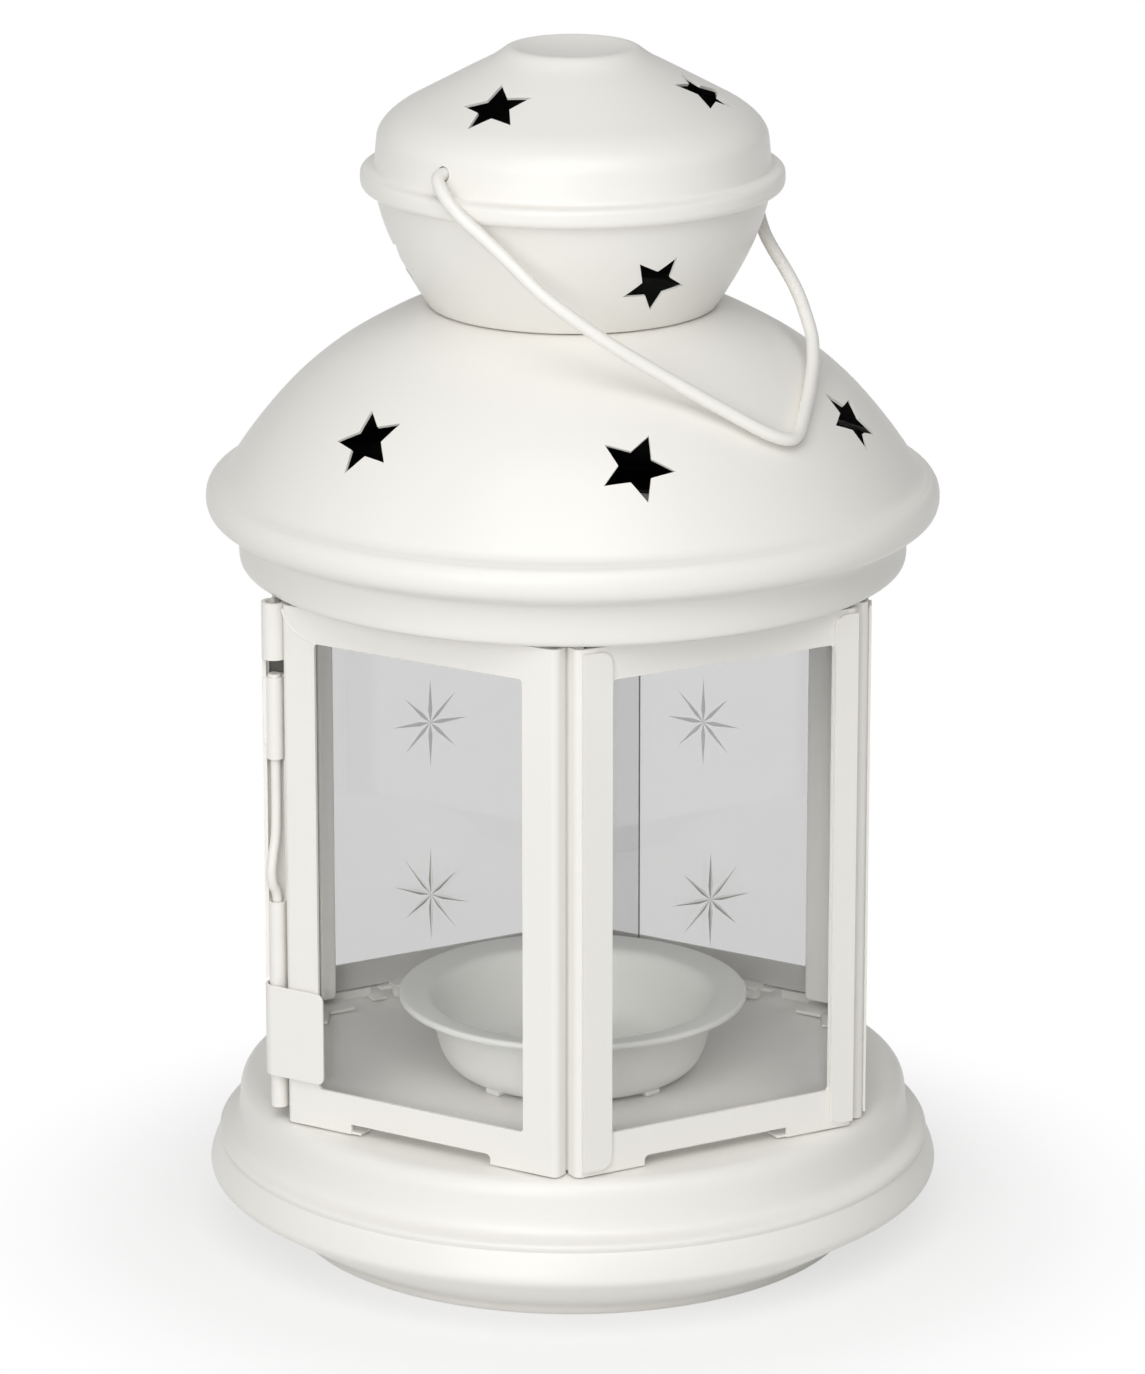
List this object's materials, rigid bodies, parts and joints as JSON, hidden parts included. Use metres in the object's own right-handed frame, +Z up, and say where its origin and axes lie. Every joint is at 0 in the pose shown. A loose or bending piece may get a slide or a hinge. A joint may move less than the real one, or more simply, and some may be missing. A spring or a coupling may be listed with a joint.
{
  "type": "star lantern",
  "caption": "White painted sheet-steel candle lantern with a hinged glazed door, a star-pierced dome, neck and cap, a cup for a small candle and a wire bail that swings",
  "frame": {"origin": "centre of the circle that the foot stands on, at the level of the floor", "axes": "+Z up along the lantern's axis, -Y toward the viewer of the front corner, +X to the viewer's right"},
  "size_m": [0.1282, 0.1282, 0.21],
  "materials": {
    "white_paint": "white powder coat, satin, on sheet steel",
    "cup_paint": "white powder coat on the pressed candle cup",
    "clear_glass": "clear float glass with an engraved star"
  },
  "bodies": {
    "lantern": {"foot_dish": "white_paint", "base_pan": "white_paint", "candle_cup": "cup_paint", "frame_right_front": "white_paint", "glass_right_front": "clear_glass", "frame_right": "white_paint", "glass_right": "clear_glass", "frame_back_right": "white_paint", "glass_back_right": "clear_glass", "frame_back_left": "white_paint", "glass_back_left": "clear_glass", "frame_left": "white_paint", "glass_left": "clear_glass", "hinge_pin": "white_paint", "roof_pan": "white_paint", "dome": "white_paint", "neck_bowl": "white_paint", "cap": "white_paint"},
    "door": {"door_frame": "white_paint", "door_glass": "clear_glass", "hinge_strap": "white_paint"},
    "bail": {"bail": "white_paint"}
  },
  "joints": [
    {"name": "door_hinge", "type": "hinge", "parent": "lantern", "child": "door", "pos_m": [-0.05052, -0.02681, 0.044], "axis": [0, 0, -1], "range_deg": [0, 120]},
    {"name": "bail_swing", "type": "hinge", "parent": "lantern", "child": "bail", "pos_m": [0, 0, 0.1933], "axis": [-0.6428, -0.766, 0], "range_deg": [0, 260]}
  ]
}
